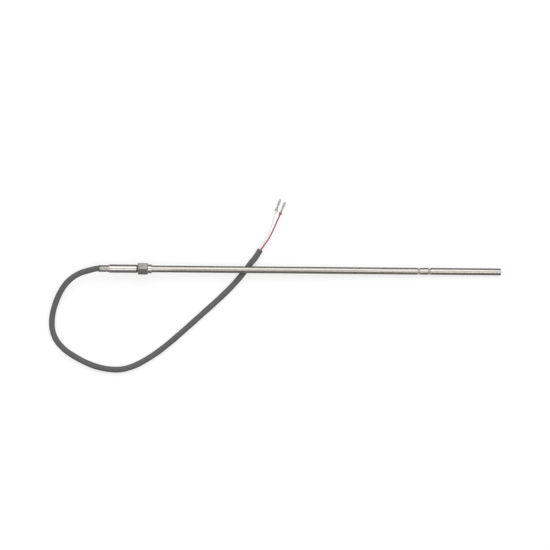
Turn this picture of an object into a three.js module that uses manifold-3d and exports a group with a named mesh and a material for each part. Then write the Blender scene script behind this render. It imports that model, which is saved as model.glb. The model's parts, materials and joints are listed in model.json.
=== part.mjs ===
// A sheathed thermocouple probe for a boiler: a long stainless sheath with a pressed tip plug, a
// transition sleeve crimped on its cable, a compression nut with its ferrule, and the two-core
// cable that runs back under the sheath to a pair of crimp contacts.
//
// Millimetres, +Z up. The probe lies along X with its tip towards +X. The origin is on the surface
// that the probe lies on, under the middle of the probe. The tip touches that surface and the
// sheath rests across its own cable, so the whole probe is pitched a little tip down.
//
// Everything on the probe is placed by its station: the distance along the probe's axis from the
// mouth of the crimped neck.

import * as THREE from 'three';
import { mergeVertices } from 'three/addons/utils/BufferGeometryUtils.js';
import Module from 'manifold-3d';

const wasm = await Module();
wasm.setup();

// ---------------------------------------------------------------- driving dimensions

const PROBE_LENGTH = 375.3;

const SHEATH_RADIUS = 3.175;
const SHEATH_WALL = 0.5;
const SHEATH_BACK = 24;
const TIP_HEAD_LENGTH = 3.6;
const TIP_CHAMFER = 0.55;

const GROOVE_STATIONS = [298.6, 308.4];
const GROOVE_WIDTH = 2.8;
const GROOVE_DEPTH = 0.75;

const NECK_LENGTH = 9.6;
const NECK_RADIUS = 3.32;
const NECK_BORE_RADIUS = 2.75;
const NECK_RING_COUNT = 3;
const NECK_RING_WIDTH = 1.3;
const NECK_RING_DEPTH = 0.22;

const SLEEVE_RADIUS = 3.85;
const SLEEVE_END = 35.4;
const SLEEVE_BORE_RADIUS = 3.25;
const SLEEVE_CHAMFER = 0.45;

const SPIGOT_RADIUS = 3.72;
const SPIGOT_END = 42.8;

const NUT_START = 36.4;
const NUT_LENGTH = 9.5;
const NUT_ACROSS_FLATS = 10.7;
const NUT_CHAMFER = 0.8;
const NOSE_LENGTH = 3.7;
const NOSE_RADIUS = 4.05;
const NOSE_ROUND = 0.7;
const NUT_THREAD_BORE_RADIUS = 3.85;
const NUT_SEAT_STATION = 44.2;
const NUT_SEAT_LENGTH = 1.4;
const NUT_FRONT_BORE_RADIUS = 3.3;

const FERRULE_START = 43.1;
const FERRULE_LENGTH = 2.2;
const FERRULE_BORE_RADIUS = 3.25;
const FERRULE_RADIUS = 3.72;

const WIRE_OFFSET = 1.2;
const WIRE_RADIUS = 0.4;
const BEAD_RADIUS = 2.45;
const BEAD_BORE_RADIUS = 0.5;
const BEAD_GAP = 0.3;
const LONG_BEAD_COUNT = 6;
const SHORT_BEAD_COUNT = 2;

const POTTING_START = 10.5;
const POTTING_RADIUS = 3.15;
const POTTING_BORE_RADIUS = 1.05;

const CORE_RADIUS = 0.65;
const CORE_WIRE_RADIUS = 0.35;
const CORE_STRIP_STATION = 13;
const CORE_END = 15.9;

const SPLICE_START = 13.2;
const SPLICE_LENGTH = 6;
const SPLICE_RADIUS = 0.72;
const SPLICE_BORE_RADIUS = 0.5;
const SHRINK_OVERLAP = 0.8;
const SHRINK_RADIUS = 0.95;
const SHRINK_BORE_RADIUS = 0.8;

const CABLE_RADIUS = 2.7;
const CABLE_CROSSING_X = -50.5;
const CABLE_STEPS = 30;
const LEAD_STEPS = 16;

const TERMINAL_LENGTH = 12.6;
const TERMINAL_METAL = 0.3;

const FACE_GAP = 0.3;
const FIT_GAP = 0.05;
const REST_GAP = 0.12;

const ROUND_SIDES = 32;
const INNER_SIDES = 24;
const WIRE_SIDES = 12;
const CABLE_SIDES = 10;
const LEAD_SIDES = 8;

// ---------------------------------------------------------------- cord routes, chosen by hand

// The cable leaves the neck, droops to the surface, makes one loop and passes under the sheath.
const CABLE_ROUTE = [
  [-187.9, 0, 11.8],
  [-190.2, -0.2, 11.8],
  [-193.2, -0.95, 11.8],
  [-196, -1.7, 11.7],
  [-199.9, -2.8, 11.4],
  [-204, -4.2, 11],
  [-211, -8, 9.9],
  [-217.9, -14.2, 8.4],
  [-223.3, -22.4, 6.6],
  [-227.4, -31.7, 4.9],
  [-230.1, -41.1, 3.6],
  [-231.1, -50.4, 2.95],
  [-230.4, -58.2, 2.75],
  [-226.8, -67.2, 2.75],
  [-218.9, -76, 2.75],
  [-210.2, -82, 2.75],
  [-198.8, -88, 2.75],
  [-187.9, -92, 2.75],
  [-175.9, -94.1, 2.75],
  [-165.3, -93.9, 2.75],
  [-153.8, -90.5, 2.75],
  [-143, -84.8, 2.75],
  [-131.6, -77.2, 2.75],
  [-120.5, -68.3, 2.75],
  [-109.4, -58.5, 2.75],
  [-98.3, -48.5, 2.75],
  [-87.3, -38.4, 2.75],
  [-76, -28.1, 2.75],
  [-66.6, -18.9, 2.75],
  [-59, -10.7, 2.75],
  [-52.4, -2.6, 2.75],
  [-46.3, 5.7, 2.75],
  [-41.2, 12.1, 2.75],
  [-37.1, 18.9, 2.75],
];

const RED_LEAD_ROUTE = [
  [-36.23, 18.96, 2.7],
  [-34.8, 21.1, 2.65],
  [-33.3, 23.3, 2.4],
  [-31.8, 25.5, 2],
  [-30.4, 27.6, 1.55],
  [-29.1, 29.8, 1.15],
  [-27.9, 32, 0.85],
  [-26.8, 34.1, 0.72],
  [-25.7, 36.3, 0.7],
  [-24.8, 38.5, 0.7],
  [-23.8, 40.7, 0.7],
  [-22.9, 42.8, 0.7],
  [-22, 45, 0.7],
  [-21, 47.2, 0.72],
  [-20.1, 49.3, 0.85],
  [-19.2, 51.51, 1],
];

const WHITE_LEAD_ROUTE = [
  [-37.46, 19.7, 2.7],
  [-36, 22, 2.65],
  [-34.7, 24.3, 2.4],
  [-33.4, 26.6, 2],
  [-32.2, 28.9, 1.55],
  [-31.1, 31.2, 1.15],
  [-30, 33.5, 0.85],
  [-29, 35.8, 0.72],
  [-28, 38.1, 0.7],
  [-27.2, 40.4, 0.7],
  [-26.4, 42.7, 0.7],
  [-25.7, 45.1, 0.7],
  [-25.1, 47.4, 0.7],
  [-24.5, 49.7, 0.72],
  [-23.8, 52, 0.85],
  [-23.09, 54.27, 1],
];

// Where each contact's crimp begins, and the way the contact points.
const RED_TERMINAL = { at: [-19.09, 51.79], heading: [4.75, 11.9] };
const WHITE_TERMINAL = { at: [-22.99, 54.55], heading: [4.15, 11.71] };

// ---------------------------------------------------------------- worked-out dimensions

const TIP_HEAD_STATION = PROBE_LENGTH - TIP_HEAD_LENGTH;
const SHEATH_BORE_RADIUS = SHEATH_RADIUS - SHEATH_WALL;
const CABLE_TOP = CABLE_RADIUS * 2 + REST_GAP;
const TIP_CONTACT_STATION = PROBE_LENGTH - TIP_CHAMFER;

// The pitch puts the sheath's underside on the cable at the crossing and on the surface at the tip.
const PITCH = Math.atan2(CABLE_TOP, PROBE_LENGTH / 2 - CABLE_CROSSING_X);
const AXIS_HEIGHT = TIP_CONTACT_STATION * Math.sin(PITCH) + SHEATH_RADIUS * Math.cos(PITCH);

// ---------------------------------------------------------------- shape helpers

/** A point of a lathe profile: a radius at a station on the axis. */
function at(station, radius) {
  return new THREE.Vector2(radius, station);
}

/** Turns a profile of stations and radii about the X axis. */
function turned(profile, sides) {
  const geometry = new THREE.LatheGeometry(profile, sides);
  geometry.rotateZ(-Math.PI / 2);
  return geometry;
}

/** A ring: an outer outline from back to front, and a bore outline from front to back. */
function turnedRing(outer, bore, sides) {
  return turned([...outer, ...bore, outer[0]], sides);
}

/** A plain round bar or wire between two stations. */
function bar(start, end, radius, sides) {
  return turned([at(start, 0), at(start, radius), at(end, radius), at(end, 0)], sides);
}

/** The points of a rolled groove or, back to front, of the bulge that it leaves in the bore. */
function rolledGroove(centre, width, depth, radius) {
  const steps = 6;
  const points = [];
  for (let i = 0; i <= steps; i += 1) {
    const share = i / steps;
    const dip = depth * 0.5 * (1 - Math.cos(share * 2 * Math.PI));
    points.push(at(centre + (share - 0.5) * width, radius - dip));
  }
  return points;
}

/** A quarter-round corner at the front end of a turned piece. */
function frontRound(end, radius, round) {
  const steps = 3;
  const points = [];
  for (let i = 0; i <= steps; i += 1) {
    const angle = (i / steps) * (Math.PI / 2);
    points.push(at(end - round + round * Math.sin(angle), radius - round + round * Math.cos(angle)));
  }
  return points;
}

/** A geometry as a solid that can be cut and joined. */
function solidOf(geometry) {
  const bare = geometry.clone();
  bare.deleteAttribute('normal');
  bare.deleteAttribute('uv');
  const merged = mergeVertices(bare);
  const mesh = new wasm.Mesh({
    numProp: 3,
    vertProperties: new Float32Array(merged.attributes.position.array),
    triVerts: new Uint32Array(merged.index.array),
  });
  return new wasm.Manifold(mesh);
}

/** The geometry of a cut or joined solid. */
function geometryOf(solid) {
  const mesh = solid.getMesh();
  const geometry = new THREE.BufferGeometry();
  geometry.setAttribute('position', new THREE.BufferAttribute(mesh.vertProperties, mesh.numProp));
  geometry.setIndex(new THREE.BufferAttribute(mesh.triVerts, 1));
  geometry.computeVertexNormals();
  return geometry;
}

/** A circle as a closed path, for a shape's outline or one of its holes. */
function circlePath(Kind, y, radius) {
  const path = new Kind();
  path.absarc(0, y, radius, 0, 2 * Math.PI, false);
  return path;
}

/** A round block with a bore each side of the axis, between two stations. */
function twoBoreBlock(start, end, radius, boreRadius) {
  const shape = circlePath(THREE.Shape, 0, radius);
  shape.holes.push(circlePath(THREE.Path, WIRE_OFFSET, boreRadius));
  shape.holes.push(circlePath(THREE.Path, -WIRE_OFFSET, boreRadius));
  const options = { depth: end - start, bevelEnabled: false, curveSegments: INNER_SIDES / 2 };
  const geometry = new THREE.ExtrudeGeometry(shape, options);
  geometry.rotateY(Math.PI / 2);
  geometry.translate(start, 0, 0);
  return geometry;
}

/** A round section swept along a smooth curve through the route's points. */
function sweptCord(route, radius, sides, steps) {
  const curve = new THREE.CatmullRomCurve3(route.map((point) => new THREE.Vector3(...point)));
  const section = new THREE.Shape();
  for (let i = 0; i < sides; i += 1) {
    const angle = (i / sides) * 2 * Math.PI;
    const move = i === 0 ? 'moveTo' : 'lineTo';
    section[move](radius * Math.cos(angle), radius * Math.sin(angle));
  }
  section.closePath();
  return new THREE.ExtrudeGeometry(section, { extrudePath: curve, steps, bevelEnabled: false });
}

// ---------------------------------------------------------------- materials

/** A fresh material for one piece. */
function finish(color, roughness, metalness) {
  return new THREE.MeshStandardMaterial({ color, roughness, metalness });
}

const polishedStainless = () => finish(0xc9c6be, 0.22, 1);
const drawnStainless = () => finish(0xb9b5a9, 0.3, 1);
const platedSteel = () => finish(0x8f8a80, 0.5, 1);
const brass = () => finish(0xb5954f, 0.35, 1);
const tinPlate = () => finish(0xa8a8a4, 0.4, 1);
const ceramic = () => finish(0xe9e4d6, 0.7, 0);
const cement = () => finish(0xd8d2c2, 0.95, 0);
const ironWire = () => finish(0x77736c, 0.45, 1);
const constantanWire = () => finish(0xa39a86, 0.4, 1);
const epoxy = () => finish(0x2b2a27, 0.35, 0);
const shrinkSleeve = () => finish(0x1c1c1d, 0.6, 0);
const cableJacket = () => finish(0x57575a, 0.6, 0);
const redInsulation = () => finish(0xb3303c, 0.5, 0);
const whiteInsulation = () => finish(0xeceae4, 0.5, 0);

// ---------------------------------------------------------------- sheath and tip

/** The drawn tube with its two rolled grooves, open at both ends. */
function sheathTube() {
  const front = TIP_HEAD_STATION - FIT_GAP;
  const outer = [at(SHEATH_BACK, SHEATH_RADIUS)];
  const bore = [at(SHEATH_BACK, SHEATH_BORE_RADIUS)];
  for (const station of GROOVE_STATIONS) {
    outer.push(...rolledGroove(station, GROOVE_WIDTH, GROOVE_DEPTH, SHEATH_RADIUS));
    bore.push(...rolledGroove(station, GROOVE_WIDTH, GROOVE_DEPTH, SHEATH_BORE_RADIUS));
  }
  outer.push(at(front, SHEATH_RADIUS));
  bore.push(at(front, SHEATH_BORE_RADIUS));
  return turnedRing(outer, bore.reverse(), ROUND_SIDES);
}

/** The plug that closes the tip: a spigot in the tube and a head as wide as the tube. */
function tipPlug() {
  const spigotLength = 3.5;
  const spigotRadius = SHEATH_BORE_RADIUS - 0.075;
  const profile = [
    at(TIP_HEAD_STATION - spigotLength, 0),
    at(TIP_HEAD_STATION - spigotLength, spigotRadius),
    at(TIP_HEAD_STATION, spigotRadius),
    at(TIP_HEAD_STATION, SHEATH_RADIUS),
    at(TIP_CONTACT_STATION, SHEATH_RADIUS),
    at(PROBE_LENGTH, SHEATH_RADIUS - TIP_CHAMFER),
    at(PROBE_LENGTH, 0),
  ];
  return turned(profile, ROUND_SIDES);
}

// ---------------------------------------------------------------- transition sleeve

/** The sleeve: a ring-rolled neck for the cable, a polished barrel and a threaded spigot. */
function transitionSleeve() {
  const shoulder = NECK_LENGTH + SLEEVE_CHAMFER;
  const outer = [at(0, NECK_RADIUS - NECK_RING_DEPTH), at(NECK_RING_DEPTH, NECK_RADIUS)];
  const ringPitch = NECK_LENGTH / (NECK_RING_COUNT + 1);
  for (let i = 1; i <= NECK_RING_COUNT; i += 1) {
    outer.push(...rolledGroove(i * ringPitch, NECK_RING_WIDTH, NECK_RING_DEPTH, NECK_RADIUS));
  }
  outer.push(
    at(NECK_LENGTH, NECK_RADIUS),
    at(NECK_LENGTH, SLEEVE_RADIUS - SLEEVE_CHAMFER),
    at(shoulder, SLEEVE_RADIUS),
    at(SLEEVE_END - SLEEVE_CHAMFER / 2, SLEEVE_RADIUS),
    at(SLEEVE_END, SLEEVE_RADIUS - SLEEVE_CHAMFER / 2),
    at(SLEEVE_END, SPIGOT_RADIUS - SLEEVE_CHAMFER / 2),
    at(SLEEVE_END + SLEEVE_CHAMFER, SPIGOT_RADIUS),
    at(SPIGOT_END, SPIGOT_RADIUS),
  );
  const bore = [
    at(SPIGOT_END, SLEEVE_BORE_RADIUS),
    at(shoulder, SLEEVE_BORE_RADIUS),
    at(shoulder, NECK_BORE_RADIUS),
    at(0, NECK_BORE_RADIUS),
  ];
  return turnedRing(outer, bore, ROUND_SIDES);
}

// ---------------------------------------------------------------- compression nut and ferrule

/** The nut: a chamfered hexagon with a round nose, bored for the spigot, ferrule and sheath. */
function compressionNut() {
  const end = NUT_START + NUT_LENGTH;
  const cornerRadius = NUT_ACROSS_FLATS / 2 / Math.cos(Math.PI / 6);
  const faceRadius = cornerRadius - NUT_CHAMFER;
  const chamferLength = NUT_CHAMFER * Math.tan(Math.PI / 6);
  const noseEnd = end + NOSE_LENGTH;
  const past = 1;

  const hexagon = solidOf(bar(NUT_START, end, cornerRadius, 6));
  const chamfer = solidOf(
    turned(
      [
        at(NUT_START, 0),
        at(NUT_START, faceRadius),
        at(NUT_START + chamferLength, cornerRadius),
        at(end - chamferLength, cornerRadius),
        at(end, faceRadius),
        at(end, 0),
      ],
      ROUND_SIDES * 2,
    ),
  );
  const nose = solidOf(
    turned(
      [at(end - past, 0), at(end - past, NOSE_RADIUS), ...frontRound(noseEnd, NOSE_RADIUS, NOSE_ROUND), at(noseEnd, 0)],
      ROUND_SIDES,
    ),
  );
  const bore = solidOf(
    turned(
      [
        at(NUT_START - past, 0),
        at(NUT_START - past, NUT_THREAD_BORE_RADIUS),
        at(NUT_SEAT_STATION, NUT_THREAD_BORE_RADIUS),
        at(NUT_SEAT_STATION + NUT_SEAT_LENGTH, NUT_FRONT_BORE_RADIUS),
        at(noseEnd + past, NUT_FRONT_BORE_RADIUS),
        at(noseEnd + past, 0),
      ],
      ROUND_SIDES,
    ),
  );
  return geometryOf(hexagon.intersect(chamfer).add(nose).subtract(bore));
}

/** The ferrule: a double cone that the nut squeezes on the sheath. */
function ferrule() {
  const end = FERRULE_START + FERRULE_LENGTH;
  const outer = [
    at(FERRULE_START, FERRULE_RADIUS - 0.25),
    at(FERRULE_START + 0.5, FERRULE_RADIUS),
    at(FERRULE_START + 1.2, FERRULE_RADIUS),
    at(end, FERRULE_BORE_RADIUS + 0.1),
  ];
  const bore = [at(end, FERRULE_BORE_RADIUS), at(FERRULE_START, FERRULE_BORE_RADIUS)];
  return turnedRing(outer, bore, ROUND_SIDES);
}

// ---------------------------------------------------------------- wires, insulators and junction

const JUNCTION_STATION = TIP_HEAD_STATION - 5.8;
const JUNCTION_HALF_LENGTH = 0.95;
const WIRE_START = CORE_END + 0.6;
const WIRE_END = JUNCTION_STATION - JUNCTION_HALF_LENGTH - 0.1;
const CEMENT_START = WIRE_END - 1.5;
const CEMENT_END = TIP_HEAD_STATION - 3.7;

/** The weld bead that joins the two wires at the hot end. */
function hotJunction() {
  const geometry = new THREE.SphereGeometry(1, 16, 12);
  geometry.scale(JUNCTION_HALF_LENGTH, WIRE_OFFSET + 0.8, JUNCTION_HALF_LENGTH);
  geometry.translate(JUNCTION_STATION, 0, 0);
  return geometry;
}

/** The cement cup that holds the junction against the tip plug, open towards the insulators. */
function junctionCement() {
  const radius = SHEATH_BORE_RADIUS - 0.12;
  const cupRadius = 2.2;
  const cupEnd = CEMENT_END - 0.8;
  const profile = [
    at(CEMENT_START, cupRadius),
    at(CEMENT_START, radius),
    at(CEMENT_END, radius),
    at(CEMENT_END, 0),
    at(cupEnd, 0),
    at(cupEnd, cupRadius),
    at(CEMENT_START, cupRadius),
  ];
  return turned(profile, INNER_SIDES);
}

/** The stations where each insulator of a row starts and ends. */
function beadRow(from, to, count) {
  const length = (to - from - BEAD_GAP * (count - 1)) / count;
  const rows = [];
  for (let i = 0; i < count; i += 1) {
    const start = from + i * (length + BEAD_GAP);
    rows.push([start, start + length]);
  }
  return rows;
}

/** Both rows of insulators: behind the grooves, and between the grooves and the junction. */
function insulatorSpans() {
  const [firstGroove, lastGroove] = GROOVE_STATIONS;
  const clear = GROOVE_WIDTH / 2 + BEAD_GAP;
  return [
    ...beadRow(SHEATH_BACK + 1, firstGroove - clear, LONG_BEAD_COUNT),
    ...beadRow(lastGroove + clear, CEMENT_START - BEAD_GAP, SHORT_BEAD_COUNT),
  ];
}

/** The bush that the two rolled grooves hold between them. */
function lockingBush() {
  const [firstGroove, lastGroove] = GROOVE_STATIONS;
  const clear = GROOVE_WIDTH / 2 + BEAD_GAP;
  return twoBoreBlock(firstGroove + clear, lastGroove - clear, BEAD_RADIUS + 0.1, BEAD_BORE_RADIUS);
}

/** One core of the cable inside the sleeve: insulation, then the bare end in its splice. */
function innerCore() {
  const profile = [
    at(FACE_GAP, 0),
    at(FACE_GAP, CORE_RADIUS),
    at(CORE_STRIP_STATION, CORE_RADIUS),
    at(CORE_STRIP_STATION, CORE_WIRE_RADIUS),
    at(CORE_END, CORE_WIRE_RADIUS),
    at(CORE_END, 0),
  ];
  return turned(profile, WIRE_SIDES);
}

/** A thin-walled tube between two stations. */
function thinTube(start, end, radius, boreRadius) {
  const outer = [at(start, radius), at(end, radius)];
  const bore = [at(end, boreRadius), at(start, boreRadius)];
  return turnedRing(outer, bore, WIRE_SIDES);
}

// ---------------------------------------------------------------- crimp contacts

/** A strip of sheet metal rolled round to a barrel that stays open at the top. */
function rolledBarrel(start, end, radius, halfOpening) {
  const steps = 12;
  const innerRadius = radius - TERMINAL_METAL;
  const sweep = 2 * (Math.PI - halfOpening);
  const angles = [];
  for (let i = 0; i <= steps; i += 1) {
    angles.push(Math.PI / 2 + halfOpening + (i / steps) * sweep);
  }
  const around = (r) => (angle) => new THREE.Vector2(r * Math.cos(angle), radius + r * Math.sin(angle));
  const outline = [...angles.map(around(radius)), ...angles.reverse().map(around(innerRadius))];
  const options = { depth: end - start, bevelEnabled: false };
  const geometry = new THREE.ExtrudeGeometry(new THREE.Shape(outline), options);
  geometry.rotateY(Math.PI / 2);
  geometry.rotateX(Math.PI / 2);
  geometry.translate(start, 0, 0);
  return geometry;
}

/** A contact lying on its floor strip: insulation crimp, wire crimp and rolled socket along +X. */
function crimpContact() {
  const stripWidth = 1.3;
  const barrels = [
    { start: 0, end: 2.2, radius: 1.15, halfOpening: 0.75 },
    { start: 3, end: 5.2, radius: 0.9, halfOpening: 0.3 },
    { start: 6, end: TERMINAL_LENGTH, radius: 1.02, halfOpening: 0.12 },
  ];
  const strip = new THREE.BoxGeometry(TERMINAL_LENGTH, stripWidth, TERMINAL_METAL);
  strip.translate(TERMINAL_LENGTH / 2, 0, TERMINAL_METAL / 2);
  let contact = solidOf(strip);
  for (const barrel of barrels) {
    const { start, end, radius, halfOpening } = barrel;
    contact = contact.add(solidOf(rolledBarrel(start, end, radius, halfOpening)));
  }
  return geometryOf(contact);
}

// ---------------------------------------------------------------- assembly

const thermocouple = new THREE.Group();
const probe = new THREE.Group();
probe.rotation.y = PITCH;
probe.position.set((-PROBE_LENGTH / 2) * Math.cos(PITCH), 0, AXIS_HEIGHT);
thermocouple.add(probe);

/** Adds a named piece to a group, moved sideways from the axis where it is one of a pair. */
function addPiece(group, name, geometry, material, sideways = 0) {
  const mesh = new THREE.Mesh(geometry, material);
  mesh.name = name;
  mesh.position.y = sideways;
  group.add(mesh);
  return mesh;
}

addPiece(probe, 'sheath_tube', sheathTube(), drawnStainless());
addPiece(probe, 'tip_plug', tipPlug(), drawnStainless());
addPiece(probe, 'transition_sleeve', transitionSleeve(), polishedStainless());
addPiece(probe, 'compression_nut', compressionNut(), platedSteel());
addPiece(probe, 'ferrule', ferrule(), brass());

insulatorSpans().forEach(([start, end], index) => {
  const block = twoBoreBlock(start, end, BEAD_RADIUS, BEAD_BORE_RADIUS);
  addPiece(probe, `insulator_${index + 1}`, block, ceramic());
});
addPiece(probe, 'locking_bush', lockingBush(), platedSteel());
addPiece(probe, 'junction_cement', junctionCement(), cement());
addPiece(probe, 'hot_junction', hotJunction(), constantanWire());

const potting = twoBoreBlock(POTTING_START, SHEATH_BACK - FACE_GAP, POTTING_RADIUS, POTTING_BORE_RADIUS);
addPiece(probe, 'potting_plug', potting, epoxy());

const stubRadius = NECK_BORE_RADIUS - 0.1;
const stub = twoBoreBlock(0, POTTING_START - FACE_GAP, stubRadius, CORE_RADIUS + 0.1);
addPiece(probe, 'jacket_clamped_end', stub, cableJacket());

const pairs = [
  { pole: 'iron', side: WIRE_OFFSET, wire: ironWire, core: 'white', insulation: whiteInsulation },
  { pole: 'constantan', side: -WIRE_OFFSET, wire: constantanWire, core: 'red', insulation: redInsulation },
];
for (const { pole, side, wire, core, insulation } of pairs) {
  const spliceEnd = SPLICE_START + SPLICE_LENGTH;
  const barrel = thinTube(SPLICE_START, spliceEnd, SPLICE_RADIUS, SPLICE_BORE_RADIUS);
  const shrinkStart = SPLICE_START - SHRINK_OVERLAP;
  const shrink = thinTube(shrinkStart, spliceEnd + SHRINK_OVERLAP, SHRINK_RADIUS, SHRINK_BORE_RADIUS);
  const thermoWire = bar(WIRE_START, WIRE_END, WIRE_RADIUS, WIRE_SIDES);
  addPiece(probe, `thermo_wire_${pole}`, thermoWire, wire(), side);
  addPiece(probe, `splice_barrel_${pole}`, barrel, tinPlate(), side);
  addPiece(probe, `splice_sleeve_${pole}`, shrink, shrinkSleeve(), side);
  addPiece(probe, `inner_core_${core}`, innerCore(), insulation(), side);
}

const cable = sweptCord(CABLE_ROUTE, CABLE_RADIUS, CABLE_SIDES, CABLE_STEPS);
addPiece(thermocouple, 'cable_jacket', cable, cableJacket());

const leads = [
  { name: 'red', route: RED_LEAD_ROUTE, terminal: RED_TERMINAL, insulation: redInsulation },
  { name: 'white', route: WHITE_LEAD_ROUTE, terminal: WHITE_TERMINAL, insulation: whiteInsulation },
];
for (const { name, route, terminal, insulation } of leads) {
  const lead = sweptCord(route, CORE_RADIUS, LEAD_SIDES, LEAD_STEPS);
  addPiece(thermocouple, `lead_${name}`, lead, insulation());

  const contact = addPiece(thermocouple, `terminal_${name}`, crimpContact(), tinPlate());
  contact.position.set(terminal.at[0], terminal.at[1], 0);
  contact.rotation.z = Math.atan2(terminal.heading[1], terminal.heading[0]);
}

export default thermocouple;
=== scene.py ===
"""Looks of a sheathed boiler thermocouple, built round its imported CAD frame.

Metres, +Z up. The probe lies along X with its tip towards +X, pitched a little tip down because the
sheath rests across its own cable. Every turned piece is modelled level, with its stations measured
from the mouth of the crimped neck, and is then laid on the probe's axis.
"""

import json
import logging
import math
from dataclasses import dataclass, field
from enum import Enum
from typing import Callable, Iterable, Sequence

import bpy
from mathutils import Matrix, Vector

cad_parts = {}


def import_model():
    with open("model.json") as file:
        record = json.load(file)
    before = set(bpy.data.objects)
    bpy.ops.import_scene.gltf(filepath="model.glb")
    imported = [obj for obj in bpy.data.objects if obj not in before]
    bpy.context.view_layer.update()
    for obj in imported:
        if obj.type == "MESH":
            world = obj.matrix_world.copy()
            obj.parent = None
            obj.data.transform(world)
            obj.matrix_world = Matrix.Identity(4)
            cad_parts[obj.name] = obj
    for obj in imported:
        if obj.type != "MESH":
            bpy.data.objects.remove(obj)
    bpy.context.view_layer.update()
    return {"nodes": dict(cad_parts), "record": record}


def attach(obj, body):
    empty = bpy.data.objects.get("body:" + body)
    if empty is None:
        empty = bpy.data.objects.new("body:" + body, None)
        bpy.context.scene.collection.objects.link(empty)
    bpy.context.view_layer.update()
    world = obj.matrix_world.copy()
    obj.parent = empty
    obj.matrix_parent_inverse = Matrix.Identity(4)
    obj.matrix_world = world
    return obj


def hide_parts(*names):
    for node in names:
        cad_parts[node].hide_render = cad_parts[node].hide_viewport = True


LOG = logging.getLogger("thermocouple")
MM = 0.001
FULL_TURN = 2 * math.pi

Point = tuple[float, float, float]
Profile = list[tuple[float, float]]
Socket = bpy.types.NodeSocket
MeshObject = bpy.types.Object


class Body(Enum):
    """The bodies that pieces ride on."""

    PROBE = "probe"
    FERRULE = "gland_ferrule"
    NUT = "gland_nut"


class Slot(Enum):
    """The record's material slot names."""

    SHEATH = "sheath_stainless"
    SLEEVE = "polished_stainless"
    NUT = "plated_nut"
    BRASS = "ferrule_brass"
    TIN = "tinned_contact"
    JACKET = "cable_jacket"
    RED = "red_insulation"
    WHITE = "white_insulation"


# ------------------------------------------------------------------ the probe's axis


@dataclass(frozen=True)
class ProbeAxis:
    """The probe's pitched axis, which starts at the mouth of the neck."""

    mouth: Vector
    pitch: float

    @classmethod
    def from_record(cls, record: dict, pivot_station: float = 41 * MM) -> "ProbeAxis":
        """Reads the axis from the nut's joint.

        Args:
            record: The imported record.
            pivot_station: How far along the axis the joint's pivot stands.

        Returns:
            The axis that every turned piece is laid on.
        """
        joints = record["behaviour"]["joints"]
        spin = next(joint for joint in joints if joint["name"] == "nut_spin")
        direction = Vector(spin["axis"]).normalized()
        mouth = Vector(spin["pos_m"]) - direction * pivot_station
        return cls(mouth, math.atan2(-direction.z, direction.x))

    def matrix(self) -> Matrix:
        """The move from level stations to the probe's place."""
        return Matrix.Translation(self.mouth) @ Matrix.Rotation(self.pitch, 4, "Y")


# ------------------------------------------------------------------ modelling steps


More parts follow.
